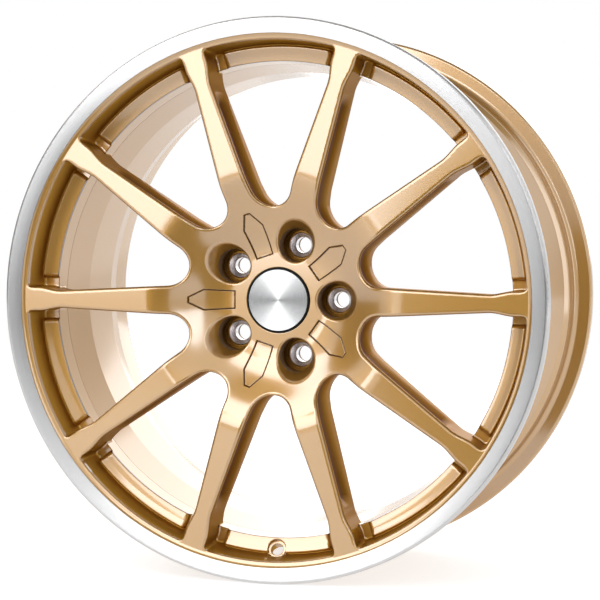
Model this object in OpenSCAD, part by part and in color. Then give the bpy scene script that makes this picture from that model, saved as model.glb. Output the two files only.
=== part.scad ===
// Forged ten-spoke racing wheel: hub, spokes, foot ring, two rim halves, lug seats and a pull-off centre cap.
// Units are millimetres. The axle runs along Y, the outboard face looks to -Y and Z is up.
// Profiles are drawn as radius against depth behind the lip, then moved to the wheel's middle.

/* [Rim] */
// Diameter over the flanges
rim_diameter = 522; // [480:1:580]
// Width over both flanges
rim_width = 254.6; // [220:0.2:300]
// Height of a flange above its bead seat
flange_height = 17.3; // [15:0.1:19]
// Thickness of a flange along the axle
flange_width = 13; // [11:0.5:16]
// Wall thickness of the barrel
barrel_wall = 4.75; // [4:0.25:8]

/* [Spokes] */
// Depth of the spoke faces behind the lip
face_inset = 4.5; // [3:0.25:4.75]
// Depth of a spoke from its face to its back
spoke_depth = 50; // [44:0.5:56]
// Width of a spoke at its waist
waist_width = 17; // [14:0.2:20]
// Width of a spoke at the hub
root_width = 27; // [24:0.2:30]
// Width of a spoke foot at the rim
foot_width = 23.4; // [21:0.2:28]
// Depth of the grooves along the sides of the spokes
side_groove = 3; // [1:0.25:3.5]
// Radius reached by the inner ends of the windows
window_tip = 88.5; // [86:0.5:96]

/* [Hub] */
// Distance of the mounting face outboard of the wheel's middle
wheel_offset = 50; // [40:0.5:56]
// Depth of the hub face behind the lip
hub_inset = 36.5; // [30:0.5:38]
// Diameter of the bolt circle
bolt_circle = 108; // [100:0.5:114]
// Diameter of a bolt hole
bolt_hole = 15; // [13:0.1:16]
// Diameter of the centre bore
centre_bore = 63.4; // [60:0.1:68]
// Diameter of the pocket above a lug seat
lug_pocket = 32; // [31:0.5:35]

/* [Cap and valve] */
// Diameter of the centre cap
cap_diameter = 60.4; // [56:0.2:62]
// Diameter of the valve hole
valve_hole = 11.3; // [8.3:0.1:12.5]

/* [Hidden] */
$fn = 96;
lug_count = 5;
spoke_count = 2 * lug_count;
spoke_step = 360 / spoke_count;
lug_step = 360 / lug_count;
gold = [0.80, 0.62, 0.37];
silver = [0.80, 0.81, 0.83];
steel = [0.62, 0.62, 0.64];
black = [0.05, 0.05, 0.06];

// Rim radii and depths
rim_r = rim_diameter / 2;
seat_r = rim_r - flange_height;
edge_r = seat_r + 2.1;
edge_inset = 2.4;
ledge_r = seat_r - 2.1;
ledge_inset = 5;
wall_front_r = seat_r - 3.1;
wall_back_r = seat_r - 6.3;
groove_floor = 38;
lip_joint = 24;
joint_r = wall_front_r
    + (wall_back_r - wall_front_r) * (lip_joint - ledge_inset - 2) / (groove_floor - ledge_inset - 2);
ring_back = face_inset + spoke_depth + 1.5;
ring_inner_r = seat_r - 21.6;
back_inner_r = ring_inner_r - 1.4;
back_outer_r = back_inner_r + barrel_wall + 1.8;
well_r = seat_r - 27.7;
seat_fillet = 6.5;
flange_round = 3;
rear_inner_r = seat_r - barrel_wall - 0.7;
pad_ridge = [seat_r - 10.1, 29.8];

// Spoke outline
waist_r = seat_r - 38.7;
root_r = 105;
taper = (root_width - waist_width) / 2 / (waist_r - root_r);
side_offset = waist_width / 2 + taper * waist_r;
flare_end_r = seat_r - 12.7;
flare = foot_width / 2 - (side_offset - taper * flare_end_r);
corner = 4;
groove_front = face_inset + 11;
groove_back = face_inset + spoke_depth - 9;
groove_end_r = seat_r - 44;
pad_gap = 8.6;

// Window end, an arc that touches both neighbouring spokes
slant = sqrt(1 + taper * taper);
half_step = spoke_step / 2;
end_r = (window_tip * slant - side_offset) / (slant - sin(half_step) - taper * cos(half_step));
end_radius = end_r - window_tip;
lean = atan(taper);
end_steps = 11;
flare_steps = 6;
corner_steps = 3;
window_radii = concat(
    [for (i = [0 : flare_steps]) waist_r + (flare_end_r - waist_r) * i / flare_steps],
    [for (i = [0 : corner_steps]) ledge_r - corner * (1 - sin(90 * i / corner_steps))],
    [ledge_r + 2]);

// Hub depths
mount_depth = rim_width / 2 - wheel_offset;
spoke_back = face_inset + spoke_depth;
dish_in_r = 44;
dish_out_r = 128;
dish_steps = 5;
hub_back_r = 80;
root_back_r = hub_back_r + 32;
root_back = spoke_back + 6;
foot_back = spoke_back - 3;

// Radii where the hub meets the spokes, and the spokes meet the foot ring
hub_r = window_tip - side_groove - 0.5;
foot_r = back_inner_r - 0.7;
root_drop = (mount_depth - root_back) / (root_back_r - hub_back_r);
hub_edge_back = mount_depth - (hub_r - hub_back_r) * root_drop;

seat_depth = mount_depth - 21.3;
seat_length = 16;
seat_outer_r = bolt_hole / 2 + 6;
cone_r = bolt_hole / 2 + 4.5;
flare_depth = hub_inset + 1.5;
pocket_flare = tan(32);
panel_depth = 1.2;

// Cap and valve
cap_r = cap_diameter / 2;
cap_front = hub_inset - 0.9;
cap_seat = hub_inset + 2.5;
cap_fit = 0.3;
snap_r = cap_r - 2;
snap_length = 11;
snap_count = 6;
leg_wall = 2.4;
spring_r = snap_r - leg_wall - 0.1;
spring_wire = 0.9;
valve_r = seat_r - 10.6;
valve_face = 33.3;
valve_tilt = 29;
valve_spot_r = valve_hole / 2 + 3;

function smooth(t) = t <= 0 ? 0 : t >= 1 ? 1 : t * t * (3 - 2 * t);
function arc(cx, cy, r, a0, a1, n = 5) =
    [for (i = [0 : n]) [cx + r * cos(a0 + (a1 - a0) * i / n), cy + r * sin(a0 + (a1 - a0) * i / n)]];
function turned(p, angle) = [p[0] * cos(angle) - p[1] * sin(angle), p[0] * sin(angle) + p[1] * cos(angle)];

// Depth of the hub and spoke face at a radius
function face_depth(r) =
    face_inset + (hub_inset - face_inset) * smooth((dish_out_r - r) / (dish_out_r - dish_in_r));

// Half width of a spoke at a radius: straight taper, flared foot and a rounded corner at the lip wall
function corner_add(r) =
    let (t = min(1, max(0, (r - ledge_r + corner) / corner))) corner * (1 - sqrt(1 - t * t));
function half_width(r) =
    side_offset - taper * r + flare * smooth((r - waist_r) / (flare_end_r - waist_r)) + corner_add(r);

// Dish of the hub and spokes between two radii, moved back by a lift
function dish_line(from_r, to_r, lift) =
    [for (i = [0 : dish_steps])
        let (r = from_r + (to_r - from_r) * i / dish_steps) [r, face_depth(r) + lift]];

// Turn a profile of radius and depth about the axle, with the wheel's middle at the origin
module spun(points) {
    translate([0, 0, -rim_width / 2]) rotate_extrude() polygon(points);
}

// Stand the wheel up: depth runs along +Y
module upright() {
    rotate([-90, 0, 0]) children();
}

// A block of a flat outline between two depths
module slab(front, back) {
    translate([0, 0, front - rim_width / 2]) linear_extrude(back - front) children();
}

// A round bar along the axle between two depths
module bar(front, back, r1, r2) {
    translate([0, 0, front - rim_width / 2]) cylinder(h = back - front, r1 = r1, r2 = r2);
}

module at_lugs() {
    for (i = [0 : lug_count - 1]) rotate(i * lug_step) translate([bolt_circle / 2, 0]) children();
}

// Outline of one window, wider by the grow on every side, through the given radii and out to a far radius
module window(grow, radii, far_r) {
    last = len(radii) - 1;
    right = [for (r = radii) [r, half_width(r) - grow]];
    left = [for (i = [last : -1 : 0]) turned([radii[i], grow - half_width(radii[i])], spoke_step)];
    end = arc(end_r * cos(half_step), end_r * sin(half_step), end_radius + grow,
        spoke_step + 90 + lean, 270 - lean, end_steps);
    polygon(concat(right, [turned([far_r, 0], half_step)], left, end));
}

module windows(grow, radii, far_r) {
    for (i = [0 : spoke_count - 1]) rotate(i * spoke_step) window(grow, radii, far_r);
}

// Ring with the raised pads, the milled groove outside them, the hump and the front wall of the well
module pad_ring() {
    difference() {
        spun([[ring_inner_r, 36.2], pad_ridge, pad_ridge + [1, 0.4], pad_ridge + [1.8, 1.7],
            [wall_back_r - 1.7, groove_floor - 1], [wall_back_r - 0.9, groove_floor], [wall_back_r, groove_floor],
            [joint_r, lip_joint], [seat_r - 0.4, lip_joint], [seat_r - 1, groove_floor - 6.5],
            [seat_r - 0.4, groove_floor - 4], [seat_r - 0.4, groove_floor - 2], [seat_r - 1.5, groove_floor + 0.5],
            [back_outer_r + 3, ring_back - 2], [back_outer_r, ring_back], [back_inner_r, ring_back]]);
        slab(0, groove_floor) intersection() {
            circle(wall_back_r - 0.9);
            for (i = [0 : spoke_count / 2 - 1]) rotate(i * spoke_step)
                square([rim_diameter, foot_width + 2 * pad_gap], center = true);
        }
    }
}

// Everything outside the sector of one spoke
module beyond_sector() {
    far_r = 2 * rim_r;
    arc_step = (360 - spoke_step) / 4;
    polygon(concat([[0, 0]], [for (i = [0 : 4]) turned([far_r, 0], half_step + i * arc_step)]));
}

// The windows on both sides of one spoke
module side_windows(grow, radii, far_r) {
    for (i = [-1, 0]) rotate(i * spoke_step) window(grow, radii, far_r);
}

// House-shaped recess in front of every second spoke
module panel_outline() {
    polygon([[42.8, -8.1], [70.9, -9.6], [84, -2.6], [84, 2.6], [70.9, 9.6], [42.8, 8.1]]);
}

module panels() {
    intersection() {
        slab(0, mount_depth) for (i = [0 : lug_count - 1]) rotate((i + 0.5) * lug_step) panel_outline();
        spun(concat([[0, 0], [hub_r, 0]], dish_line(hub_r, dish_in_r, panel_depth), [[0, hub_inset + panel_depth]]));
    }
}

// Pocket above one lug seat, the bore for the seat and the bolt hole behind it, as one cutter
module lug_cuts() {
    spun([[0, 0], [lug_pocket / 2 + flare_depth * pocket_flare, 0], [lug_pocket / 2, flare_depth],
        [lug_pocket / 2, seat_depth], [seat_outer_r, seat_depth], [seat_outer_r, seat_depth + seat_length],
        [bolt_hole / 2, seat_depth + seat_length], [bolt_hole / 2, mount_depth + 1], [0, mount_depth + 1]]);
}

// Place of the valve: its axis leans out with depth and starts at the middle of the spot face
module valve_place() {
    rotate(90) translate([valve_r, 0, valve_face - rim_width / 2]) rotate([0, valve_tilt, 0]) children();
}

// Boss that carries the spot face across the groove
module valve_boss() {
    intersection() {
        valve_place() cylinder(h = 6, r = valve_spot_r + 1);
        bar(0, ring_back, seat_r - 3, seat_r - 3);
    }
}

// Spot face and valve hole, as one cutter
module valve_cuts() {
    rotate_extrude() polygon([[0, -20], [valve_spot_r, -20], [valve_spot_r, 0], [valve_hole / 2, 0],
        [valve_hole / 2, 25], [0, 25]]);
}

// Seat of the cap, the snap bore and the centre bore, as one cutter
module hub_bores() {
    back = cap_seat + snap_length + 1;
    spun([[0, 0], [cap_r + cap_fit, 0], [cap_r + cap_fit, cap_seat], [snap_r, cap_seat], [snap_r, back],
        [centre_bore / 2, back], [centre_bore / 2, mount_depth + 1], [0, mount_depth + 1]]);
}

module hub() {
    color(gold) upright() difference() {
        spun(concat(dish_line(hub_r, dish_in_r, 0),
            [[0, hub_inset], [0, mount_depth], [hub_back_r, mount_depth], [hub_r, hub_edge_back]]));
        panels();
        at_lugs() lug_cuts();
        hub_bores();
    }
}

// One spoke, with a groove along each side that ends short of its foot
module spoke(i) {
    color(gold) upright() rotate(i * spoke_step) difference() {
        spun(concat([[foot_r, face_inset]], dish_line(dish_out_r, hub_r, 0),
            [[hub_r, hub_edge_back], [root_back_r, root_back], [foot_r, foot_back]]));
        slab(0, mount_depth + 1) beyond_sector();
        slab(0, mount_depth + 1) side_windows(0, window_radii, 1.2 * rim_r);
        slab(groove_front, groove_back) side_windows(side_groove, [groove_end_r], groove_end_r);
    }
}

// Feet of the spokes, where they run into the wall behind the lip
module spoke_feet() {
    difference() {
        spun([[ledge_r, face_inset], [foot_r, face_inset], [foot_r, foot_back], [wall_back_r - 4, groove_floor + 6],
            [wall_back_r + 2, groove_floor], [joint_r, lip_joint], [wall_front_r, ledge_inset + 2],
            [ledge_r, ledge_inset]]);
        slab(0, mount_depth + 1) windows(0, window_radii, 1.2 * rim_r);
    }
}

module drilled_ring() {
    difference() {
        union() {
            pad_ring();
            valve_boss();
        }
        valve_place() valve_cuts();
    }
}

module foot_ring() {
    color(gold) upright() union() {
        spoke_feet();
        drilled_ring();
    }
}

module outer_lip() {
    face_r = rim_r - flange_round;
    color(silver) upright() spun(concat(
        [[edge_r, edge_inset]],
        arc(face_r, flange_round, flange_round, 270, 360),
        arc(face_r, flange_width - flange_round - 1, flange_round, 0, 90),
        [[seat_r + seat_fillet + 2, flange_width]],
        arc(seat_r + seat_fillet, flange_width + seat_fillet, seat_fillet, 270, 180),
        [[seat_r - 0.4, lip_joint], [joint_r, lip_joint],
        [wall_front_r, ledge_inset + 2], [ledge_r, ledge_inset], [edge_r - 1.9, ledge_inset - 0.2],
        [edge_r - 0.8, ledge_inset - 1]]));
}

module rim_barrel() {
    face_r = rim_r - flange_round;
    rear = rim_width;
    seat_back = rear - flange_width - seat_fillet;
    color(gold) upright() spun(concat(
        [[back_inner_r, ring_back], [back_outer_r, ring_back], [well_r + barrel_wall, ring_back + 44],
        [well_r + barrel_wall, rear - 97], [well_r + barrel_wall + 5, rear - 75],
        [seat_r - 5.2, seat_back - 23], [seat_r - 1.1, seat_back - 19], [seat_r - 1.1, seat_back - 14]],
        arc(seat_r + seat_fillet, seat_back, seat_fillet, 180, 90),
        arc(face_r, rear - flange_width + flange_round + 1, flange_round, 270, 360),
        arc(face_r, rear - flange_round, flange_round, 0, 90),
        [[rear_inner_r + 1.6, rear], [rear_inner_r, rear - 1.6], [rear_inner_r, seat_back - 14],
        [rear_inner_r - 4.5, seat_back - 21], [well_r + 4.5, rear - 74], [well_r, rear - 98],
        [well_r, ring_back + 44]]));
}

module lug_seat(i) {
    color(steel) upright() rotate(i * lug_step) translate([bolt_circle / 2, 0]) difference() {
        bar(seat_depth, seat_depth + seat_length, seat_outer_r, seat_outer_r);
        bar(seat_depth - 1, mount_depth, bolt_hole / 2, bolt_hole / 2);
        bar(seat_depth - 1, seat_depth + (cone_r - bolt_hole / 2) / tan(30),
            cone_r + tan(30), bolt_hole / 2);
    }
}

module cap_shell() {
    color(black) upright() difference() {
        union() {
            bar(cap_front, cap_seat, cap_r, cap_r);
            difference() {
                bar(cap_seat - 0.5, cap_seat + snap_length, snap_r - cap_fit, snap_r - cap_fit);
                bar(cap_seat - 1, cap_seat + snap_length + 1, snap_r - leg_wall, snap_r - leg_wall);
                for (i = [0 : snap_count / 2 - 1]) rotate((i + 0.5) * 360 / snap_count)
                    slab(cap_seat, cap_seat + snap_length + 1) square([cap_diameter, 9], center = true);
            }
        }
        bar(cap_front - 1, cap_front + 0.8, cap_r - 1.6, cap_r - 1.6);
        spring_ring();
    }
}

module cap_face() {
    color(silver) upright() bar(cap_front - 0.1, cap_front + 0.8, cap_r - 1.7, cap_r - 1.7);
}

// The wire ring lies in a groove inside the snap legs
module spring_ring() {
    translate([0, 0, cap_seat + snap_length - 3 - rim_width / 2])
        rotate_extrude() translate([spring_r, 0]) circle(spring_wire, $fn = 24);
}

module cap_spring() {
    color(steel) upright() spring_ring();
}

hub();
for (i = [1 : spoke_count]) spoke(i - 1);
foot_ring();
outer_lip();
rim_barrel();
for (i = [1 : lug_count]) lug_seat(i - 1);
cap_shell();
cap_face();
cap_spring();
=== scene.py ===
"""Looks of a forged ten-spoke racing wheel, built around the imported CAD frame.

Profiles are in millimetres, as radius against depth behind the lip, like the CAD source.
Objects are in metres: the axle runs along Y, the outboard face looks to -Y and Z is up.
"""
import math

import bpy
import numpy as np
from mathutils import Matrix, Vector


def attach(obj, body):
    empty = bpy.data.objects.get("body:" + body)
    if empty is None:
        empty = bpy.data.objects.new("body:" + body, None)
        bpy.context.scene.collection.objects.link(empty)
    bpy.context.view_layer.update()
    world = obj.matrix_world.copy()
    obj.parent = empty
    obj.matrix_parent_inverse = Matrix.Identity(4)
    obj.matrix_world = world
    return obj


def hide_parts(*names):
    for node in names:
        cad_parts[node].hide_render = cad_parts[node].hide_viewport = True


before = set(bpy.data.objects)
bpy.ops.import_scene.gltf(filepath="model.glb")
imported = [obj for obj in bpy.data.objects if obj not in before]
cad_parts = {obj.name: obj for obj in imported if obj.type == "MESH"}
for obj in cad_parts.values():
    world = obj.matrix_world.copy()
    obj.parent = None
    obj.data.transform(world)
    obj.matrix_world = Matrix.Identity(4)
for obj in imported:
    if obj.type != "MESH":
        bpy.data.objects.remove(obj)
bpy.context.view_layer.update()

MM = 0.001
LIP_Y = -127.3

# Lip and ledge
RIM_R = 261.0
SEAT_R = RIM_R - 17.3
EDGE_R = SEAT_R + 2.1
EDGE_INSET = 2.4
LEDGE_R = SEAT_R - 2.1
WALL_FRONT_INSET = 7.0
WALL_FRONT_R = SEAT_R - 3.1
WALL_BACK_R = SEAT_R - 6.3
LIP_JOINT = 24.0
LIP_SKIN = 1.2
LIP_LAP = 0.5
LIP_COVER = 8.0
LIP_COVER_SLOPE = 0.7
FLANGE_WIDTH = 13.0
FLANGE_ROUND = 3.0
BEAD_ROUND = 6.5

# Foot ring and barrel
RIM_WIDTH = 254.6
GROOVE_FLOOR = 38.0
GROOVE_FILLET = 1.6
RING_BACK = 56.0
RING_INNER_R = SEAT_R - 21.6
RING_OUTER_R = SEAT_R - 0.6
RING_EDGE = 0.8
RING_FILLET = 2.2
SEAM_LAP = 0.6
BARREL_WALL = 4.75
BACK_INNER_R = RING_INNER_R - 1.4
BACK_OUTER_R = BACK_INNER_R + BARREL_WALL + 1.8
REAR_INNER_R = SEAT_R - BARREL_WALL - 0.7
WELL_R = SEAT_R - 27.7
WELL_OUTER_R = WELL_R + BARREL_WALL
WELL_FRONT = RING_BACK + 44
WELL_ROUND = 10.0
LEG_FOOT = RIM_WIDTH - 98
LEG_BEND = RIM_WIDTH - 74
LEG_RISE = 4.5
HUMP_STEP = 4.5
SEAT_BACK = RIM_WIDTH - FLANGE_WIDTH - BEAD_ROUND
BARREL_ROUND = 3.0
SLOPE_TOP = (SEAT_R - 1.5, GROOVE_FLOOR + 0.5)
SLOPE_FOOT = (BACK_OUTER_R + 3, RING_BACK - 2)

# Spokes
SPOKES = 10
STEP = 2 * math.pi / SPOKES
FACE_INSET = 4.5
SPOKE_BACK = 54.5
ROOT_BACK = SPOKE_BACK + 6
FOOT_BACK = SPOKE_BACK - 3
WAIST_R = SEAT_R - 38.7
ROOT_R = 105.0
WAIST_WIDTH = 17.0
ROOT_WIDTH = 27.0
FOOT_WIDTH = 23.4
DRAFT = 0.03
TAPER = (ROOT_WIDTH - WAIST_WIDTH) / 2 / (WAIST_R - ROOT_R)
SIDE_OFFSET = WAIST_WIDTH / 2 + TAPER * WAIST_R
FLARE_END_R = SEAT_R - 12.7
FLARE = FOOT_WIDTH / 2 - (SIDE_OFFSET - TAPER * FLARE_END_R)
CORNER = 4.0
COVE = 4.2
COVE_OVERRUN = 1.2
WINDOW_TIP = 88.5
SLANT = math.hypot(1, TAPER)
WINDOW_END_R = ((WINDOW_TIP * SLANT - SIDE_OFFSET)
                / (SLANT - math.sin(STEP / 2) - TAPER * math.cos(STEP / 2)))
WINDOW_RADIUS = WINDOW_END_R - WINDOW_TIP
WINDOW_LEAN = STEP / 2 - math.atan(TAPER)
EDGE_ROUND = 3.4
LEDGE_ROUND = 1.4
BACK_ROUND = 2.5

# Hollows in the sides of the spokes; front and back are depths behind the face
HOLLOW_DEPTH = 4.0
HOLLOW_FRONT = 5.0
HOLLOW_FRONT_SOFT = 8.0
HOLLOW_BACK = 20.0
HOLLOW_BACK_SOFT = 22.0
HOLLOW_END_R = SEAT_R - 40
HOLLOW_END_SOFT = 14.0

# Pads between the spokes
PAD_RIDGE_R = SEAT_R - 9.0
PAD_RIDGE_INSET = 29.8
PAD_EDGE_INSET = 36.2
PAD_OUTER_R = SEAT_R - 7.6
PAD_END = FOOT_WIDTH / 2 + 8.6
PAD_ROUND = 2.4
PAD_END_ROUND = 3.6
COVE_FLOOR = 34.5
COVE_FILLET = 2.5

# Hub
HUB_INSET = 36.5
DISH_IN_R = 44.0
DISH_OUT_R = 128.5
DISH_BEND = 1.2
DISH_BEND_SOFT = 2.0
MOUNT_DEPTH = 77.3
HUB_BACK_R = 80.0
ROOT_BACK_R = HUB_BACK_R + 32
CENTRE_BORE_R = 31.7
BOLT_CIRCLE_R = 54.0
BOLT_HOLE_R = 7.5
SEAT_DEPTH = MOUNT_DEPTH - 21.3
SEAT_LENGTH = 16.0
SEAT_OUTER_R = BOLT_HOLE_R + 6
SEAT_BARE_R = 10.9
SEAT_SHADE_SOFT = 0.6
POCKET_R = 16.0
POCKET_EDGE = 1.3
POCKET_LEAN = math.cos(math.radians(12))
POCKET_FLARE_DEPTH = HUB_INSET + 1.5
POCKET_FLARE = math.tan(math.radians(32))

# House-shaped panels on every second spoke; corners are distances from the axle and half widths
PANEL_START = 42.8
PANEL_START_HALF = 8.1
PANEL_SHOULDER = 70.9
PANEL_SHOULDER_HALF = 9.6
PANEL_TIP = 84.0
PANEL_TIP_HALF = 2.6
PANEL_DEPTH = 0.9
PANEL_SOFT = 0.9
PANEL_LINE = 1.5
PANEL_LINE_WIDTH = 0.85
PANEL_LINE_REACH = 4.0

# Cap and valve
CAP_R = 30.2
CAP_FIT = 0.3
CAP_SEAT = HUB_INSET + 2.5
CAP_EDGE = 0.6
SNAP_R = CAP_R - 2
SNAP_BACK = CAP_SEAT + 12
VALVE_R = SEAT_R - 10.6
VALVE_FACE = 33.3
VALVE_TILT = math.radians(29)
VALVE_HOLE_R = 5.65
VALVE_EDGE = 0.6
VALVE_WALL = 4.5
VALVE_BACK_R = VALVE_HOLE_R + 2
VALVE_SPOT_R = VALVE_HOLE_R + 3
VALVE_SPOT_EDGE = 0.5
VALVE_BOSS_R = VALVE_SPOT_R + 1.2
VALVE_BOSS_FILLET = 1.0
VALVE_TURN = 4

# Grid for meshing: stretches of (start, end, pitch), and settling onto the surface
GRID_RADII = ((26, 92, 0.65), (92, 196, 1.4), (196, 250, 0.7))
GRID_DEPTHS = ((0.5, 44, 0.75), (44, 80, 1.3))
GRID_ANGLES = 128
CELL_CORNERS = ((0, 0), (0, 1), (1, 0), (1, 1))
CELL_RING = ((0, 0), (1, 0), (1, 1), (0, 1))
NEAR_ZERO = 1e-5
PROBE = 0.05
MOST_MOVE = 0.4
MERGE_DIGITS = 6

# Where the shaded side paint and the painted shade of the pockets, hollows and pad edges begin; a lean is
# a share of a unit normal
SIDE_END_R = RING_INNER_R - 3
SIDE_LEAN = 0.4
RADIAL_LEAN = 0.7
BACK_LEAN = 0.3
OUTWARD_LEAN = 0.2
GROOVE_SHADE_R = PAD_RIDGE_R + 0.8
GROOVE_SHADE_INSET = 10.0
TYRE_SIDE_R = PAD_OUTER_R + 1
POCKET_SHADE_R = POCKET_R + 0.2
POCKET_SHADE_MARGIN = 0.5
HOLLOW_SHADE = 0.9
HOLLOW_LEAN = 0.7
HOLLOW_LEAN_SOFT = 0.3
PAD_LINE = 1.2
PAD_LINE_FILL = 1.5

# Colours
WHITE = (1, 1, 1)
GOLD_DEEP = (0.46, 0.247, 0.051)
GOLD_LIGHT = (0.50, 0.273, 0.062)
# Painted shade: the dark tone in engraved outlines, side hollows and along the pad edges
GOLD_PAINTED_SHADE = (0.12, 0.056, 0.010)
# Shaded copy of the gold paint for the side walls and the groove: a dark tint of the grazing shine,
# painted shade, over a slightly lighter base
SIDE_SHADE_SLANT = (0.40, 0.25, 0.08)
SIDE_DEEP = (0.49, 0.285, 0.052)
SIDE_LIGHT = (0.53, 0.310, 0.062)
# Painted shade of the lug pocket bores, two tones mixed by a grain
POCKET_SHADE_DEEP = (0.13, 0.060, 0.010)
POCKET_SHADE_LIGHT = (0.17, 0.082, 0.016)
BARE_METAL = (0.76, 0.73, 0.74)
TURNED_ALLOY = (0.57, 0.57, 0.575)
BRUSHED_ALLOY = (0.52, 0.525, 0.53)
PLASTIC = (0.004, 0.004, 0.004)
STEEL = (0.50, 0.50, 0.52)
FLOOR_GREY = (0.5, 0.5, 0.5)
CARD_GREY = (0.02, 0.02, 0.02)

# Camera, with angles in degrees from straight in front of the wheel, and the clip in metres
CAMERA_AZIMUTH = 16.825
CAMERA_ELEVATION = 2.080
CAMERA_DISTANCE = 1923.7
CAMERA_AIM = Vector((32.24, LIP_Y, 1.79))
CAMERA_CLIP = 50.0
FOCAL_PIXELS = 2108.9
IMAGE_PIXELS = 600
SENSOR = 36.0

# Studio, in metres, degrees and levels of light
FLOOR_Z = -RIM_R * MM
FLOOR_REACH = 6.0
FLOOR_GLOW = 0.68
MAT_RAISE = 0.001
MAT_NEAR = 0.5
MAT_FAR = 2.4
MAT_RIGHT = 31
MAT_NEAR_LEFT = 6
MAT_FAR_LEFT = -12.5
CARD_TOP = 5
BACKDROP = 1.0
WALL_LOW = 0.70
WALL_HIGH = 1.00
WALL_RISE = 25
WALL_SPAN = (-64, 100)
SIDE_DARK = 0.08
SIDE_DARK_SPAN = (-110, -64)
SIDE_GREY = 0.55
SIDE_GREY_SPAN = (104, 150)
SPAN_SOFT = 4
GREY_SOFT = 6
CEILING = 0.25
CEILING_SPAN = (46, 50)


# Small helpers for shapes

def smooth(t):
    """Step from 0 to 1 with soft ends."""
    t = np.clip(t, 0.0, 1.0)
    return t * t * (3 - 2 * t)


def union(a, b, radius):
    """Union of two distance fields with a hollow fillet of the radius."""
    return (np.maximum(radius, np.minimum(a, b))
            - np.hypot(np.maximum(radius - a, 0), np.maximum(radius - b, 0)))


def common(a, b, radius):
    """Intersection of two distance fields with a rounded edge of the radius."""
    return (np.minimum(-radius, np.maximum(a, b))
            + np.hypot(np.maximum(a + radius, 0), np.maximum(b + radius, 0)))


def line_distance(r, depth, start, end):
    """Distance from a straight profile line, positive on its left going from start to end."""
    along = (end[0] - start[0], end[1] - start[1])
    length = math.hypot(*along)
    return (along[0] * (depth - start[1]) - along[1] * (r - start[0])) / length


# Distance field of the hub, spokes and pad ring in one sector

def face_depth(r):
    """Depth of the front face: hub dish, flat spokes and the cove up to the machined lip."""
    drop = HUB_INSET - FACE_INSET + DISH_BEND
    dish = drop * smooth((DISH_OUT_R - r) / (DISH_OUT_R - DISH_IN_R)) - DISH_BEND
    dish = (dish + np.hypot(dish, DISH_BEND_SOFT)) / 2
    into_cove = np.clip((r - EDGE_R + COVE) / COVE, 0, COVE_OVERRUN)
    return FACE_INSET + dish - (FACE_INSET - EDGE_INSET) * into_cove ** 2


def half_width(along):
    """Half width of a spoke: straight taper with a flared foot."""
    flare = FLARE * smooth((along - WAIST_R) / (FLARE_END_R - WAIST_R))
    return SIDE_OFFSET - TAPER * along + flare


def wall_radius(depth):
    """Radius of the wall inside the lip, where the spoke feet end."""
    part = (depth - WALL_FRONT_INSET) / (GROOVE_FLOOR - WALL_FRONT_INSET)
    return WALL_FRONT_R + (WALL_BACK_R - WALL_FRONT_R) * part


def window_distance(r, phi):
    """Distance from the spokes beside a window, seen along the axle, with the round end at the hub."""
    lug_side = r * np.sin(phi) - half_width(r * np.cos(phi))
    panel_side = r * np.sin(STEP - phi) - half_width(r * np.cos(STEP - phi))
    side = np.minimum(lug_side, panel_side) / SLANT
    along = r * np.cos(phi - STEP / 2) - WINDOW_END_R
    across = np.abs(r * np.sin(phi - STEP / 2))
    at_end = along * math.cos(WINDOW_LEAN) + across * math.sin(WINDOW_LEAN) < 0
    return np.where(at_end, WINDOW_RADIUS - np.hypot(along, across), side)


def panel_distance(r, phi):
    """Distance from the outline of the house-shaped panel on every second spoke."""
    along, across = r * np.cos(STEP - phi), r * np.sin(STEP - phi)
    start = (PANEL_START, PANEL_START_HALF)
    shoulder = (PANEL_SHOULDER, PANEL_SHOULDER_HALF)
    tip = (PANEL_TIP, PANEL_TIP_HALF)
    side = line_distance(along, across, start, shoulder)
    roof = line_distance(along, across, shoulder, tip)
    return np.maximum.reduce([PANEL_START - along, side, roof, along - PANEL_TIP])


def engraving(panel):
    """Share of the engraved outline of a panel, from the distance to it."""
    return smooth(1 - np.abs(panel) / PANEL_LINE_WIDTH)


def side_hollow(r, depth):
    """Share of the hollow in the sides of the spokes, steep in front and shallow behind."""
    inset = depth - face_depth(r)
    front = smooth((inset - HOLLOW_FRONT) / HOLLOW_FRONT_SOFT)
    back = smooth((inset - HOLLOW_BACK) / HOLLOW_BACK_SOFT)
    return front * (1 - back) * smooth((HOLLOW_END_R - r) / HOLLOW_END_SOFT)


def spoke_field(r, phi, depth):
    """Hub, spokes and the wall that they end in."""
    plan = window_distance(r, phi) + DRAFT * (depth - FACE_INSET)
    plan = plan + HOLLOW_DEPTH * side_hollow(r, depth)
    plan = union(plan, wall_radius(depth) - r, CORNER)
    panel = panel_distance(r, phi)
    recess = PANEL_DEPTH * smooth(0.5 - panel / PANEL_SOFT) + PANEL_LINE * engraving(panel)
    slope = face_depth(r + 0.5) - face_depth(r - 0.5)
    front = (face_depth(r) + recess - depth) / np.hypot(1, slope)
    back_radii = (HUB_BACK_R, ROOT_BACK_R, BACK_INNER_R)
    back = depth - np.interp(r, back_radii, (MOUNT_DEPTH, ROOT_BACK, FOOT_BACK))
    at_ledge = smooth((r - FLARE_END_R) / (LEDGE_R - FLARE_END_R))
    edge = EDGE_ROUND + (LEDGE_ROUND - EDGE_ROUND) * at_ledge
    return common(common(plan, front, edge), back, BACK_ROUND)


def valve_place(r, phi, depth):
    """Distance from the valve's axis, and depth behind its spot face."""
    along = r * np.cos(phi - STEP / 2) - VALVE_R
    behind = along * math.sin(VALVE_TILT) + (depth - VALVE_FACE) * math.cos(VALVE_TILT)
    beside = along * math.cos(VALVE_TILT) - (depth - VALVE_FACE) * math.sin(VALVE_TILT)
    return np.hypot(beside, r * np.sin(phi - STEP / 2)), behind


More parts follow.
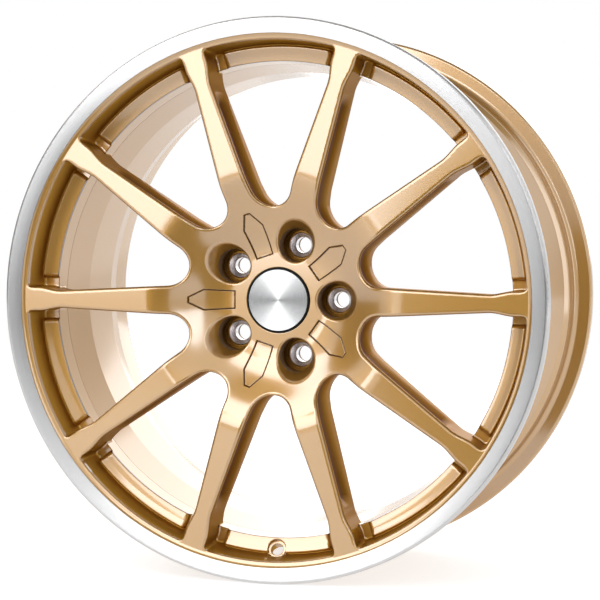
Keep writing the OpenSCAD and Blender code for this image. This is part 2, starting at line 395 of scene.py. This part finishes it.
def ring_field(r, phi, depth, valve):
    """Pads, the groove around them, and the front wall of the well."""
    across = np.minimum(r * np.sin(phi), r * np.sin(STEP - phi))
    lean = (RING_INNER_R - BACK_INNER_R) / (RING_BACK - PAD_EDGE_INSET)
    inner_r = RING_INNER_R - (depth - PAD_EDGE_INSET) * lean
    front = -line_distance(r, depth, (RING_INNER_R, PAD_EDGE_INSET), (PAD_RIDGE_R, PAD_RIDGE_INSET))
    pad = common(front, r - PAD_OUTER_R, PAD_ROUND)
    pad = union(pad, COVE_FLOOR - depth, COVE_FILLET)
    pad = common(pad, PAD_END - across, PAD_END_ROUND)
    ring = union(pad, GROOVE_FLOOR - depth, GROOVE_FILLET)
    if valve:
        spot, behind = valve_place(r, phi, depth)
        boss = common(spot - VALVE_BOSS_R, -behind, VALVE_EDGE)
        ring = union(ring, boss, VALVE_BOSS_FILLET)
    return np.maximum(common(ring, inner_r - r, RING_EDGE), depth - RING_BACK)


def tyre_side(r, depth):
    """Distance outside the seat behind the lip and the slope down to the well."""
    front_r = EDGE_R + LIP_LAP
    seat = r - front_r + np.clip((depth - LIP_COVER) * LIP_COVER_SLOPE, 0, front_r - RING_OUTER_R)
    return np.maximum(seat, -line_distance(r, depth, SLOPE_TOP, SLOPE_FOOT))


def valve_cut(field, r, phi, depth):
    """A field with the valve's spot face, its hole and the wider opening behind the wall taken out."""
    spot, behind = valve_place(r, phi, depth)
    field = common(field, -np.maximum(spot - VALVE_SPOT_R, behind), VALVE_SPOT_EDGE)
    field = common(field, VALVE_HOLE_R - spot, VALVE_EDGE)
    return np.maximum(field, -np.maximum(spot - VALVE_BACK_R, VALVE_WALL - behind))


def lug_cut(field, r, phi, depth):
    """A field with the flared lug pocket, the room for the seat and the bolt hole taken out."""
    lug = np.hypot(r * np.cos(phi) - BOLT_CIRCLE_R, r * np.sin(phi))
    pocket_r = POCKET_R + np.maximum(POCKET_FLARE_DEPTH - depth, 0) * POCKET_FLARE
    pocket = np.maximum((lug - pocket_r) * POCKET_LEAN, depth - SEAT_DEPTH)
    field = common(field, -pocket, POCKET_EDGE)
    field = np.maximum(field, -np.maximum(lug - SEAT_OUTER_R, depth - SEAT_DEPTH - SEAT_LENGTH))
    return np.maximum(field, BOLT_HOLE_R - lug)


def cap_cut(field, r, depth):
    """A field with the seat of the cap, the room for its legs and the centre bore taken out."""
    cap_seat = np.maximum(r - CAP_R - CAP_FIT, depth - CAP_SEAT)
    field = common(field, -cap_seat, CAP_EDGE)
    field = np.maximum(field, SNAP_R - r)
    return np.maximum(field, -np.maximum(r - CENTRE_BORE_R, SNAP_BACK - depth))


def centre_field(r, phi, depth, valve):
    """Forged centre of the wheel, from a lug spoke to the panel spoke beside it."""
    field = union(spoke_field(r, phi, depth), ring_field(r, phi, depth, valve), RING_FILLET)
    field = np.maximum(field, tyre_side(r, depth))
    if valve:
        field = valve_cut(field, r, phi, depth)
    return cap_cut(lug_cut(field, r, phi, depth), r, depth)


# Meshing of a distance field on a grid of radius, angle and depth

def stretches(parts):
    """Grid values from stretches of (start, end, pitch)."""
    values = [np.linspace(a, b, max(2, round((b - a) / pitch) + 1))[:-1] for a, b, pitch in parts]
    return np.concatenate(values + [[parts[-1][1]]])


def edge_ends(low, axis, count):
    """Slices for both ends of the grid edges along an axis, from slices across it."""
    low[axis] = slice(0, count - 1)
    high = list(low)
    high[axis] = slice(1, count)
    return tuple(low), tuple(high)


def cell_points(values, axes):
    """Vertices in the grid cells that the zero level passes through, and each cell's vertex number."""
    cells = tuple(n - 1 for n in values.shape)
    total = np.zeros(cells + (3,), np.float32)
    count = np.zeros(cells, np.int16)
    for axis in range(3):
        others = [a for a in range(3) if a != axis]
        for corner in CELL_CORNERS:
            across = [None] * 3
            for other, offset in zip(others, corner):
                across[other] = slice(offset, offset + cells[other])
            low, high = edge_ends(across, axis, values.shape[axis])
            start, end = values[low], values[high]
            crossed = np.nonzero((start < 0) != (end < 0))
            part = start[crossed] / (start[crossed] - end[crossed])
            point = [part] * 3
            for other, offset in zip(others, corner):
                point[other] = np.full_like(part, offset)
            total[crossed] += np.stack(point, -1)
            count[crossed] += 1
    active = np.nonzero(count)
    number = np.full(cells, -1, np.int64)
    number[active] = np.arange(len(active[0]))
    inner = total[active] / count[active][:, None]
    points = [np.interp(active[a] + inner[:, a], np.arange(len(axes[a])), axes[a]) for a in range(3)]
    return np.stack(points, -1), number


def cell_quads(inside, number):
    """Quads between the vertices of the four cells around each grid edge that the zero level crosses."""
    quads = []
    for axis in range(3):
        others = [a for a in range(3) if a != axis]
        low, high = edge_ends([slice(1, n - 1) for n in inside.shape], axis, inside.shape[axis])
        crossed = np.nonzero(inside[low] != inside[high])
        outward = inside[low][crossed]
        if axis == 1:
            outward = ~outward
        ring = []
        for steps in CELL_RING:
            cell = list(crossed)
            for other, step in zip(others, steps):
                cell[other] = cell[other] + 1 - step
            ring.append(number[tuple(cell)])
        ring = np.stack(ring, -1)
        ring[~outward] = ring[~outward][:, ::-1]
        quads.append(ring)
    return np.concatenate(quads)


def settle(points, field, rounds=3):
    """Grid vertices moved onto the surface, and their unit normals, in (radius, angle, depth)."""
    for i in range(rounds + 1):
        r, phi, depth = points.T
        turn = PROBE / r
        rises = [
            field(r + PROBE, phi, depth) - field(r - PROBE, phi, depth),
            field(r, phi + turn, depth) - field(r, phi - turn, depth),
            field(r, phi, depth + PROBE) - field(r, phi, depth - PROBE)]
        slopes = np.stack(rises, -1) / (2 * PROBE)
        size = np.sqrt((slopes ** 2).sum(axis=1)) + 1e-9
        normals = slopes / size[:, None]
        if i < rounds:
            reach = np.clip(field(r, phi, depth) / size, -MOST_MOVE, MOST_MOVE)
            move = normals * reach[:, None]
            move[:, 1] /= r
            points = points - move
    return points, normals


def sector(valve):
    """Points, normals and quads of the centre from a lug spoke's middle to a panel spoke's middle."""
    radii, depths = stretches(GRID_RADII), stretches(GRID_DEPTHS)
    pitch = STEP / GRID_ANGLES
    angles = np.arange(-0.5, GRID_ANGLES + 0.6) * pitch
    r, phi, depth = np.meshgrid(radii, angles, depths, indexing="ij")
    values = centre_field(r, np.abs(phi), depth, valve).astype(np.float32)
    values[np.abs(values) < NEAR_ZERO] = NEAR_ZERO
    points, number = cell_points(values, (radii, angles, depths))
    quads = cell_quads(values < 0, number)
    first, last = points[:, 1] < 0.5 * pitch, points[:, 1] > STEP - 0.5 * pitch

    def mirrored(a, b, c):
        return centre_field(a, STEP - np.abs(STEP - np.abs(b)), c, valve)

    points[first, 1] = 0
    points[last, 1] = STEP
    points, normals = settle(points, mirrored)
    points[first, 1] = 0
    points[last, 1] = STEP
    normals[first | last, 1] = 0
    return points, normals, quads


def shade_share(points, normals):
    """Share of painted shade, a dark tone in engraved outlines, side hollows and along the pad edges, at
    points of a sector.
    """
    r, phi, depth = points.T
    outline = engraving(panel_distance(r, phi)) * (depth < face_depth(r) + PANEL_LINE_REACH)
    sideways = smooth((HOLLOW_LEAN - np.abs(normals[:, 2])) / HOLLOW_LEAN_SOFT)
    hollow = HOLLOW_SHADE * side_hollow(r, depth) * sideways
    pad_edge = smooth(PAD_LINE_FILL - np.hypot(r - RING_INNER_R, depth - PAD_EDGE_INSET) / PAD_LINE)
    return np.maximum.reduce([outline, hollow, pad_edge])


# These points get the shaded copy of the gold paint
def on_side(places, normals):
    """Whether points lie on the side walls of the spokes or in the groove, away from the valve's boss."""
    x, y, z = places.T / MM
    r = np.hypot(x, z)
    outward = (x * normals[:, 0] + z * normals[:, 2]) / r
    upright = np.abs(normals[:, 1]) < SIDE_LEAN
    side = upright & ((r < SIDE_END_R) | (np.abs(outward) < RADIAL_LEAN))
    to_tyre = (normals[:, 1] > BACK_LEAN) | ((outward > OUTWARD_LEAN) & (r > TYRE_SIDE_R))
    groove = (r > GROOVE_SHADE_R) & (y - LIP_Y > GROOVE_SHADE_INSET)
    off_boss = np.hypot(x, z + VALVE_R) > VALVE_BOSS_R
    return side | (groove & off_boss & ~to_tyre)


# These points get the painted shade of the pockets
def in_pocket(places):
    """Whether points lie in the bores of the lug pockets."""
    x, y, z = places.T / MM
    angle = np.arctan2(z, x)
    angle = angle - np.round(angle / (2 * STEP)) * 2 * STEP
    radius = np.hypot(x, z)
    lug = np.hypot(radius * np.cos(angle) - BOLT_CIRCLE_R, radius * np.sin(angle))
    depth = y - LIP_Y
    behind_flare = depth > POCKET_FLARE_DEPTH + POCKET_SHADE_MARGIN
    return (lug < POCKET_SHADE_R) & behind_flare & (depth < MOUNT_DEPTH - POCKET_SHADE_MARGIN)


def spun_copy(points, normals, quads, side, turn):
    """A sector turned to its place on the wheel, mirrored where side is -1."""
    r, phi, depth = points.T
    angle = side * phi + turn
    zero = np.zeros_like(angle)
    radial = np.stack([np.cos(angle), zero, np.sin(angle)], -1)
    tangent = np.stack([-np.sin(angle), zero, np.cos(angle)], -1) * side
    axle = np.array([0, 1, 0])
    place = radial * r[:, None] + axle * (depth + LIP_Y)[:, None]
    normal = radial * normals[:, :1] + tangent * normals[:, 1:2] + axle * normals[:, 2:]
    return place * MM, normal, quads if side < 0 else quads[:, ::-1]


# Meshes and objects

def add_object(name, mesh, material):
    """An object in the scene with one material."""
    piece = bpy.data.objects.new(name, mesh)
    bpy.context.scene.collection.objects.link(piece)
    mesh.materials.append(material)
    return piece


def mesh_from(name, points, quads, normals=None):
    """A smooth-shaded mesh, with vertex normals where they are given."""
    mesh = bpy.data.meshes.new(name)
    mesh.from_pydata(points, [], quads)
    mesh.polygons.foreach_set("use_smooth", np.ones(len(mesh.polygons), bool))
    mesh.update()
    if normals is not None:
        mesh.normals_split_custom_set_from_vertices(normals)
    return mesh


def build_centre(material, shaded_side_material, pocket_shade_material):
    """Hub, spokes and pad ring as one seamless mesh with three materials: gold paint, its shaded copy on
    the sides, and the painted shade of the pocket bores.
    """
    plain, drilled = sector(False), sector(True)
    places, normals, quads, shade, base = [], [], [], [], 0
    for turn in range(SPOKES // 2):
        for side in (1, -1):
            source = drilled if (turn, side) == (VALVE_TURN, -1) else plain
            p, n, q = spun_copy(*source, side, turn * 2 * STEP)
            places.append(p)
            normals.append(n)
            quads.append(q + base)
            shade.append(shade_share(*source[:2]))
            base += len(p)
    places, normals, quads = np.concatenate(places), np.concatenate(normals), np.concatenate(quads)
    keys = np.round(places, MERGE_DIGITS)
    _, first, merged = np.unique(keys, axis=0, return_index=True, return_inverse=True)
    quads = merged.reshape(-1)[quads]
    places, normals = places[first], normals[first]
    mesh = mesh_from("wheel_centre", places, quads, normals)
    # Share of painted shade at each point, which the gold paints read
    shares = mesh.attributes.new("shade", "FLOAT", "POINT")
    shares.data.foreach_set("value", np.concatenate(shade)[first].astype(np.float32))
    piece = add_object("wheel_centre", mesh, material)
    mesh.materials.append(shaded_side_material)
    mesh.materials.append(pocket_shade_material)
    middles = places[quads].mean(axis=1)
    # Slot 1, the shaded copy of the gold paint, goes on the side walls and in the groove
    slots = np.where(on_side(middles, normals[quads].mean(axis=1)), 1, 0)
    # Slot 2 is the painted shade of the pocket bores
    slots[in_pocket(middles)] = 2
    mesh.polygons.foreach_set("material_index", slots.astype(np.int32))
    return piece


def rounded(corners, steps=6):
    """A closed profile from corners (radius, depth[, rounding]), with arcs at the rounded ones."""
    points = []
    for i, corner in enumerate(corners):
        here = np.array(corner[:2], float)
        rounding = corner[2] if len(corner) > 2 else 0
        if not rounding:
            points.append(here)
            continue
        before = np.array(corners[i - 1][:2], float) - here
        after = np.array(corners[(i + 1) % len(corners)][:2], float) - here
        reach_before, reach_after = np.linalg.norm(before), np.linalg.norm(after)
        before, after = before / reach_before, after / reach_after
        half = math.acos(np.clip(np.dot(before, after), -1, 1)) / 2
        reach = min(rounding / math.tan(half), reach_before * 0.49, reach_after * 0.49)
        radius = reach * math.tan(half)
        middle = before + after
        centre = here + middle / np.linalg.norm(middle) * radius / math.sin(half)
        start, end = here + before * reach - centre, here + after * reach - centre
        sweep = math.atan2(start[0] * end[1] - start[1] * end[0], np.dot(start, end))
        base = math.atan2(start[1], start[0])
        for k in range(steps + 1):
            angle = base + sweep * k / steps
            points.append(centre + radius * np.array([math.cos(angle), math.sin(angle)]))
    return np.array(points)


def lathe(name, corners, material, segments=288, sharp=35):
    """A closed ring turned about the axle from a rounded profile."""
    radii, depths = rounded(corners).T
    count = len(radii)
    angles = np.arange(segments)[:, None] * 2 * math.pi / segments
    along = np.broadcast_to(depths + LIP_Y, (segments, count))
    points = np.stack([radii * np.cos(angles), along, radii * np.sin(angles)], -1).reshape(-1, 3) * MM
    i, j = np.meshgrid(np.arange(segments), np.arange(count), indexing="ij")
    here, after = i * count, (i + 1) % segments * count
    next_j = (j + 1) % count
    quads = np.stack([here + j, here + next_j, after + next_j, after + j], -1).reshape(-1, 4)
    area = np.dot(radii, np.roll(depths, -1)) - np.dot(depths, np.roll(radii, -1))
    if area < 0:
        quads = quads[:, ::-1]
    mesh = mesh_from(name, points, quads)
    mesh.set_sharp_from_angle(angle=math.radians(sharp))
    return add_object(name, mesh, material)


# Shader nodes

def new_material(name, **inputs):
    """A material whose Principled shader has the given inputs, written with _ for a space."""
    material = bpy.data.materials.new(name)
    material.use_nodes = True
    shader = material.node_tree.nodes["Principled BSDF"]
    for label, value in inputs.items():
        shader.inputs[label.replace("_", " ")].default_value = value
    return material, material.node_tree, shader


def join(tree, source, target):
    """Link an output to an input."""
    tree.links.new(source, target)


def maths(tree, operation, *terms):
    """Output of a Math node; a term is a number or another node's output."""
    node = tree.nodes.new("ShaderNodeMath")
    node.operation = operation
    for socket, term in zip(node.inputs, terms):
        if isinstance(term, (int, float)):
            socket.default_value = term
        else:
            join(tree, term, socket)
    return node.outputs["Value"]


def spread(tree, value, from_low, from_high, to_low, to_high, easing="LINEAR"):
    """Output of a Map Range node."""
    node = tree.nodes.new("ShaderNodeMapRange")
    node.interpolation_type = easing
    join(tree, value, node.inputs["Value"])
    numbers = (from_low, from_high, to_low, to_high)
    for label, number in zip(("From Min", "From Max", "To Min", "To Max"), numbers):
        node.inputs[label].default_value = number
    return node.outputs["Result"]


def place_of(tree):
    """Place on the object, in metres."""
    return tree.nodes.new("ShaderNodeTexCoord").outputs["Object"]


def noise(tree, scale, detail=2.0, along=None):
    """Noise in space, or along one value where that is given."""
    node = tree.nodes.new("ShaderNodeTexNoise")
    node.inputs["Scale"].default_value = scale
    node.inputs["Detail"].default_value = detail
    if along is None:
        join(tree, place_of(tree), node.inputs["Vector"])
    else:
        node.noise_dimensions = "1D"
        join(tree, along, node.inputs["W"])
    return node.outputs["Fac"]


def bump(tree, height, strength, distance):
    """Normal of a surface raised by a height."""
    node = tree.nodes.new("ShaderNodeBump")
    node.inputs["Strength"].default_value = strength
    node.inputs["Distance"].default_value = distance
    join(tree, height, node.inputs["Height"])
    return node.outputs["Normal"]


def tint(tree, factor, low, high):
    """Colour between two colours; each is a tuple or another node's output."""
    node = tree.nodes.new("ShaderNodeMix")
    node.data_type = "RGBA"
    join(tree, factor, node.inputs["Factor"])
    for socket, colour in ((node.inputs[6], low), (node.inputs[7], high)):
        if isinstance(colour, tuple):
            socket.default_value = (*colour, 1)
        else:
            join(tree, colour, socket)
    return node.outputs[2]


def length_of(tree, first, second):
    """Length of a vector from its two parts."""
    squares = [maths(tree, "MULTIPLY", part, part) for part in (first, second)]
    return maths(tree, "SQRT", maths(tree, "ADD", *squares))


def across_axle(tree):
    """Place to the right of the axle and above it, in metres."""
    parts = tree.nodes.new("ShaderNodeSeparateXYZ")
    join(tree, place_of(tree), parts.inputs[0])
    return parts.outputs["X"], parts.outputs["Z"]


def lug_radius(tree):
    """Distance from the nearest lug axis, in metres."""
    right, up = across_axle(tree)
    angle = maths(tree, "ARCTAN2", up, right)
    nearest = maths(tree, "ROUND", maths(tree, "DIVIDE", angle, 2 * STEP))
    turned_by = maths(tree, "SUBTRACT", angle, maths(tree, "MULTIPLY", nearest, 2 * STEP))
    radius = length_of(tree, right, up)
    outward = maths(tree, "MULTIPLY", radius, maths(tree, "COSINE", turned_by))
    along = maths(tree, "SUBTRACT", outward, BOLT_CIRCLE_R * MM)
    return length_of(tree, along, maths(tree, "MULTIPLY", radius, maths(tree, "SINE", turned_by)))


def roughen(tree, shader, grain, low, high):
    """Roughness between two values, following a grain."""
    join(tree, spread(tree, grain, 0, 1, low, high), shader.inputs["Roughness"])


def grained(tree, shader, scale, low, high, strength, depth):
    """Fine grain in the roughness and the surface of a shader."""
    grain = noise(tree, scale, 2.0)
    roughen(tree, shader, grain, low, high)
    join(tree, bump(tree, grain, strength, depth), shader.inputs["Normal"])
    return grain


# Materials

def gold_paint(name, coat, coat_ior, slant, deep, light):
    """Metallic flake under a clear coat, with painted shade mixed in where the shade attribute says; a
    dark slant colour paints shade into the grazing shine.
    """
    material, tree, shader = new_material(
        name, Metallic=1.0, Specular_Tint=(*slant, 1),
        Coat_Weight=coat, Coat_IOR=coat_ior, Coat_Roughness=0.12)
    flake = noise(tree, 2600, 1.0)
    drift = noise(tree, 9, 2.0)
    shade = tree.nodes.new("ShaderNodeAttribute")
    shade.attribute_name = "shade"
    paint = tint(tree, drift, deep, light)
    # Painted shade: the paint goes over to a dark tone where the shade attribute says
    join(tree, tint(tree, shade.outputs["Fac"], paint, GOLD_PAINTED_SHADE), shader.inputs["Base Color"])
    roughen(tree, shader, flake, 0.46, 0.56)
    join(tree, bump(tree, flake, 0.03, 0.00004), shader.inputs["Normal"])
    join(tree, bump(tree, noise(tree, 160, 0.0), 0.006, 0.0004), shader.inputs["Coat Normal"])
    return material


def pocket_painted_shade():
    """Painted shade in the bores of the lug pockets: a dark, rough gold."""
    material, tree, shader = new_material("pocket_painted_shade", Metallic=1.0)
    grain = grained(tree, shader, 900, 0.42, 0.55, 0.10, 0.00005)
    join(tree, tint(tree, grain, POCKET_SHADE_DEEP, POCKET_SHADE_LIGHT), shader.inputs["Base Color"])
    return material


def turned_alloy(name, colour, rings):
    """Alloy with fine lathe lines around the axle, and the stretched shine that they give."""
    material, tree, shader = new_material(
        name, Base_Color=(*colour, 1), Metallic=1.0, Anisotropic=1.0, Anisotropic_Rotation=0.25)
    lines = noise(tree, rings, 3.0, length_of(tree, *across_axle(tree)))
    roughen(tree, shader, lines, 0.22, 0.30)
    join(tree, bump(tree, lines, 0.25, 0.00002), shader.inputs["Normal"])
    tangent = tree.nodes.new("ShaderNodeTangent")
    tangent.direction_type = "RADIAL"
    tangent.axis = "Y"
    join(tree, tangent.outputs["Tangent"], shader.inputs["Tangent"])
    return material


def seat_metal():
    """Bare machined cone, with the wheel's paint on its rim in the pocket's painted shade tone."""
    material, tree, shader = new_material("seat_metal", Metallic=1.0)
    grained(tree, shader, 1400, 0.20, 0.36, 0.08, 0.00005)
    shade_start_r = SEAT_BARE_R + SEAT_SHADE_SOFT
    pocket_shade_share = spread(tree, lug_radius(tree), SEAT_BARE_R * MM, shade_start_r * MM, 0, 1)
    join(tree, tint(tree, pocket_shade_share, BARE_METAL, POCKET_SHADE_LIGHT), shader.inputs["Base Color"])
    return material


def black_plastic():
    """Black plastic of the cap, with a fine moulded grain."""
    material, tree, shader = new_material(
        "black_plastic", Base_Color=(*PLASTIC, 1), Specular_IOR_Level=0.12)
    grained(tree, shader, 1800, 0.28, 0.42, 0.10, 0.00004)
    return material


def spring_steel():
    """Bright drawn wire."""
    material, tree, shader = new_material("spring_steel", Base_Color=(*STEEL, 1), Metallic=1.0)
    grained(tree, shader, 2500, 0.22, 0.36, 0.06, 0.00003)
    return material


def dress(node, material):
    """Give a CAD node its material."""
    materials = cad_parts[node].data.materials
    materials.clear()
    materials.append(material)


GOLD = gold_paint("gold_paint", 1.0, 2.4, WHITE, GOLD_DEEP, GOLD_LIGHT)
# Shaded copy of the gold paint: a thin coat and a dark grazing tint paint shade onto the side walls and
# the groove
GOLD_SHADED_SIDES = gold_paint("gold_shaded_sides", 0.25, 1.35, SIDE_SHADE_SLANT, SIDE_DEEP, SIDE_LIGHT)
PAINTED_POCKET_SHADE = pocket_painted_shade()
ALLOY = turned_alloy("machined_alloy", TURNED_ALLOY, 5200)
SEAT = seat_metal()
BLACK = black_plastic()
BRUSHED = turned_alloy("brushed_face", BRUSHED_ALLOY, 6500)
WIRE = spring_steel()

# Pieces

centre = build_centre(GOLD, GOLD_SHADED_SIDES, PAINTED_POCKET_SHADE)
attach(centre, "wheel")
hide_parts("hub", "foot_ring", *["spoke_%d" % (i + 1) for i in range(SPOKES)])

lip_face = lathe("lip_face", [
    # Face, from the edge of the gold ledge to the outside of the flange
    (EDGE_R, EDGE_INSET, 0.3),
    (RIM_R, 0.0, FLANGE_ROUND),
    (RIM_R, FLANGE_WIDTH - 1, FLANGE_ROUND),
    # Back of the skin, inside the lip
    (RIM_R - LIP_SKIN, FLANGE_WIDTH - LIP_SKIN),
    (RIM_R - LIP_SKIN, LIP_SKIN, 2.0),
    (EDGE_R, EDGE_INSET + LIP_SKIN)], ALLOY)
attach(lip_face, "wheel")
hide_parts("outer_lip")

lip_body = lathe("lip_body", [
    # Front, under the machined skin
    (EDGE_R - 1, EDGE_INSET + LIP_SKIN + 0.5),
    (RIM_R - 1, LIP_SKIN),
    # Back of the flange and the front bead seat
    (RIM_R - 1, FLANGE_WIDTH - 0.9, 2.0),
    (SEAT_R + 7, FLANGE_WIDTH, BEAD_ROUND),
    (SEAT_R, FLANGE_WIDTH + 7, BEAD_ROUND),
    # Joint with the forged centre, and the inside
    (SEAT_R - 0.4, LIP_JOINT),
    (SEAT_R - 3, LIP_JOINT),
    (SEAT_R - 3, 14),
    (EDGE_R - 1, LIP_COVER)], GOLD)
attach(lip_body, "wheel")
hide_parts("outer_lip")

barrel = lathe("barrel", [
    # Front end, lapped into the pad ring
    (BACK_INNER_R, RING_BACK - SEAM_LAP),
    (BACK_OUTER_R, RING_BACK - SEAM_LAP),
    # Well and leg on the tyre side
    (WELL_OUTER_R, WELL_FRONT, WELL_ROUND),
    (WELL_OUTER_R, LEG_FOOT + 1, WELL_ROUND),
    (WELL_OUTER_R + LEG_RISE + 0.5, LEG_BEND - 1, WELL_ROUND),
    # Hump and rear bead seat
    (SEAT_R - 5.2, SEAT_BACK - 23, BARREL_ROUND),
    (SEAT_R - 0.4, SEAT_BACK - 17, 4),
    (SEAT_R - 1.1, SEAT_BACK - 12, 2),
    (SEAT_R, SEAT_BACK + BEAD_ROUND, BEAD_ROUND),
    # Rear flange
    (RIM_R, RIM_WIDTH - FLANGE_WIDTH + 1, FLANGE_ROUND),
    (RIM_R, RIM_WIDTH, FLANGE_ROUND),
    (REAR_INNER_R, RIM_WIDTH, 1.6),
    # Inside, from the rear to the well
    (REAR_INNER_R, SEAT_BACK - 14, BARREL_ROUND),
    (REAR_INNER_R - HUMP_STEP, SEAT_BACK - 21, BARREL_ROUND),
    (WELL_R + LEG_RISE, LEG_BEND, BARREL_ROUND),
    (WELL_R, LEG_FOOT, BARREL_ROUND),
    (WELL_R, WELL_FRONT, BARREL_ROUND)], GOLD)
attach(barrel, "wheel")
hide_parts("rim_barrel")

for i in range(1, 6):
    dress("lug_seat_%d" % i, SEAT)
dress("cap_shell", BLACK)
dress("cap_face", BRUSHED)
dress("cap_spring", WIRE)


# Camera, floor and light

def studio_place(azimuth, elevation, distance):
    """Point at an azimuth to the right of straight in front of the wheel, and an elevation, in degrees."""
    turn, rise = math.radians(azimuth), math.radians(elevation)
    level = math.cos(rise)
    return Vector((math.sin(turn) * level, -math.cos(turn) * level, math.sin(rise))) * distance


def facing(direction):
    """Rotation of a lamp or camera that looks along a direction."""
    return direction.to_track_quat("-Z", "Y").to_euler()


def add_camera():
    """Camera at the place fitted to the photograph."""
    back = studio_place(CAMERA_AZIMUTH, CAMERA_ELEVATION, 1)
    data = bpy.data.cameras.new("camera")
    data.sensor_width = SENSOR
    data.lens = FOCAL_PIXELS * SENSOR / IMAGE_PIXELS
    data.clip_end = CAMERA_CLIP
    camera = bpy.data.objects.new("camera", data)
    bpy.context.scene.collection.objects.link(camera)
    camera.rotation_euler = facing(-back)
    camera.location = (CAMERA_AIM + back * CAMERA_DISTANCE) * MM
    bpy.context.scene.camera = camera


def add_softbox(name, azimuth, elevation, distance, width, height, radiance):
    """Area lamp that spans the given angles, seen from the wheel."""
    data = bpy.data.lights.new(name, "AREA")
    data.shape = "RECTANGLE"
    data.size = 2 * distance * math.tan(math.radians(width / 2))
    data.size_y = 2 * distance * math.tan(math.radians(height / 2))
    data.energy = radiance * math.pi * data.size * data.size_y
    lamp = bpy.data.objects.new(name, data)
    bpy.context.scene.collection.objects.link(lamp)
    lamp.location = studio_place(azimuth, elevation, distance)
    lamp.rotation_euler = facing(-lamp.location)
    lamp.visible_camera = False


def flat_piece(name, corners, material):
    """A single flat face."""
    mesh = bpy.data.meshes.new(name)
    mesh.from_pydata(corners, [], [tuple(range(len(corners)))])
    return add_object(name, mesh, material)


def add_floor():
    """Pale floor, brought up to white for the camera and for reflections."""
    material, tree, shader = new_material(
        "floor", Base_Color=(*FLOOR_GREY, 1), Specular_IOR_Level=0.1, Emission_Color=(*WHITE, 1))
    roughen(tree, shader, noise(tree, 3, 2.0), 0.66, 0.74)
    path = tree.nodes.new("ShaderNodeLightPath")
    reflected = maths(tree, "MAXIMUM", path.outputs["Is Glossy Ray"], path.outputs["Is Transmission Ray"])
    seen = maths(tree, "MAXIMUM", path.outputs["Is Camera Ray"], reflected)
    join(tree, maths(tree, "MULTIPLY", seen, FLOOR_GLOW), shader.inputs["Emission Strength"])
    signs = ((-1, -1), (1, -1), (1, 1), (-1, 1))
    corners = [(x * FLOOR_REACH, y * FLOOR_REACH, FLOOR_Z) for x, y in signs]
    flat_piece("floor", corners, material)


def add_dark_card(name, corners):
    """Dark card that only reflections show."""
    material, tree, shader = new_material("dark_card", Base_Color=(*CARD_GREY, 1))
    roughen(tree, shader, noise(tree, 5, 2.0), 0.8, 0.9)
    card = flat_piece(name, corners, material)
    card.visible_camera = False
    card.visible_shadow = False
    card.visible_diffuse = False


def add_camera_side():
    """The dark side of the studio, where the camera stands: a mat on the floor and a card behind it."""
    near_left = studio_place(MAT_NEAR_LEFT, 0, MAT_NEAR)
    near_right = studio_place(MAT_RIGHT, 0, MAT_NEAR)
    right = studio_place(MAT_RIGHT, 0, MAT_FAR)
    left = studio_place(MAT_FAR_LEFT, 0, MAT_FAR)
    mat = (near_left, near_right, right, left)
    add_dark_card("dark_mat", [(p.x, p.y, FLOOR_Z + MAT_RAISE) for p in mat])
    top = MAT_FAR * math.tan(math.radians(CARD_TOP))
    card = ((left, FLOOR_Z), (right, FLOOR_Z), (right, top), (left, top))
    add_dark_card("dark_card", [(p.x, p.y, z) for p, z in card])


def band(tree, value, span, soft):
    """One between the two ends of a span, with soft ends."""
    low, high = span
    rising = spread(tree, value, low - soft, low + soft, 0, 1, "SMOOTHSTEP")
    falling = spread(tree, value, high - soft, high + soft, 1, 0, "SMOOTHSTEP")
    return maths(tree, "MULTIPLY", rising, falling)


def blend(tree, share, first, second):
    """First value, going over to the second with the share."""
    change = maths(tree, "SUBTRACT", second, first)
    return maths(tree, "ADD", first, maths(tree, "MULTIPLY", share, change))


def add_world():
    """White backdrop behind the wheel, pale walls in front, darker sides and a dim ceiling."""
    world = bpy.data.worlds.new("studio")
    bpy.context.scene.world = world
    world.use_nodes = True
    tree = world.node_tree
    parts = tree.nodes.new("ShaderNodeSeparateXYZ")
    join(tree, tree.nodes.new("ShaderNodeTexCoord").outputs["Generated"], parts.inputs[0])
    ahead = maths(tree, "MULTIPLY", parts.outputs["Y"], -1)
    azimuth = maths(tree, "DEGREES", maths(tree, "ARCTAN2", parts.outputs["X"], ahead))
    elevation = maths(tree, "DEGREES", maths(tree, "ARCSINE", parts.outputs["Z"]))
    wall = spread(tree, elevation, 0, WALL_RISE, WALL_LOW, WALL_HIGH)
    level = blend(tree, band(tree, azimuth, WALL_SPAN, SPAN_SOFT), BACKDROP, wall)
    level = blend(tree, band(tree, azimuth, SIDE_DARK_SPAN, SPAN_SOFT), level, SIDE_DARK)
    level = blend(tree, band(tree, azimuth, SIDE_GREY_SPAN, GREY_SOFT), level, SIDE_GREY)
    overhead = spread(tree, elevation, *CEILING_SPAN, 0, 1, "SMOOTHSTEP")
    level = blend(tree, overhead, level, CEILING)
    seen = tree.nodes.new("ShaderNodeLightPath").outputs["Is Camera Ray"]
    level = blend(tree, seen, level, BACKDROP)
    background = tree.nodes["Background"]
    background.inputs["Color"].default_value = (*WHITE, 1)
    join(tree, level, background.inputs["Strength"])


add_camera()
add_floor()
add_camera_side()
add_world()
add_softbox("key", azimuth=-19, elevation=13.15, distance=2.3, width=22, height=27.7, radiance=3.0)
add_softbox("overhead", azimuth=-25, elevation=36.5, distance=2.3, width=62, height=19, radiance=3.0)
add_softbox("strip", azimuth=35, elevation=17, distance=2.0, width=6, height=26, radiance=4.0)
add_softbox("right", azimuth=95, elevation=10, distance=2.2, width=10, height=80, radiance=1.8)
add_softbox("back", azimuth=136, elevation=12, distance=2.5, width=22, height=90, radiance=0.6)
add_softbox("backlight", azimuth=186, elevation=20, distance=2.5, width=44, height=36, radiance=1.7)
bpy.context.scene.view_settings.view_transform = "Standard"
